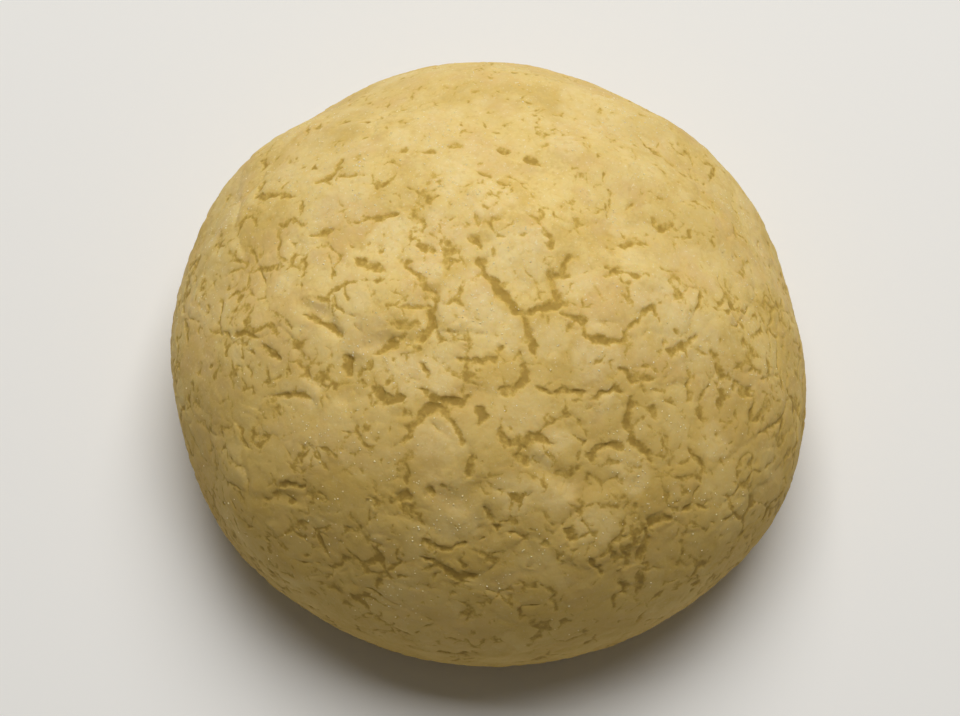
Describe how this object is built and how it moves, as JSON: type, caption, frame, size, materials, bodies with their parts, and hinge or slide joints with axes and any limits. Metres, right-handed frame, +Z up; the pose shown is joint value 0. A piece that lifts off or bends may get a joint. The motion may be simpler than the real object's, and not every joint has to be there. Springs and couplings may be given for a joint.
{
  "type": "melon pan bun",
  "caption": "Round domed sweet bun with a thin cracked cookie crust, a rounded heel and a flat base that it rests on.",
  "frame": {"origin": "centre of the flat base, on the surface that the bun rests on", "axes": "+Z up through the dome, +X along the wider way of the oval outline, -Y the side that the viewer stands on"},
  "size_m": [0.11, 0.108, 0.054],
  "materials": {
    "cookie_crust": "pale yellow baked cookie crust, matt and crumbly, split into plates",
    "bread_base": "golden brown baked bread, matt, where the roll sat on the tray",
    "sugar": "fine sugar crystals, slightly clear and shiny"
  },
  "bodies": {
    "root": {"bun": "cookie_crust"}
  },
  "joints": []
}
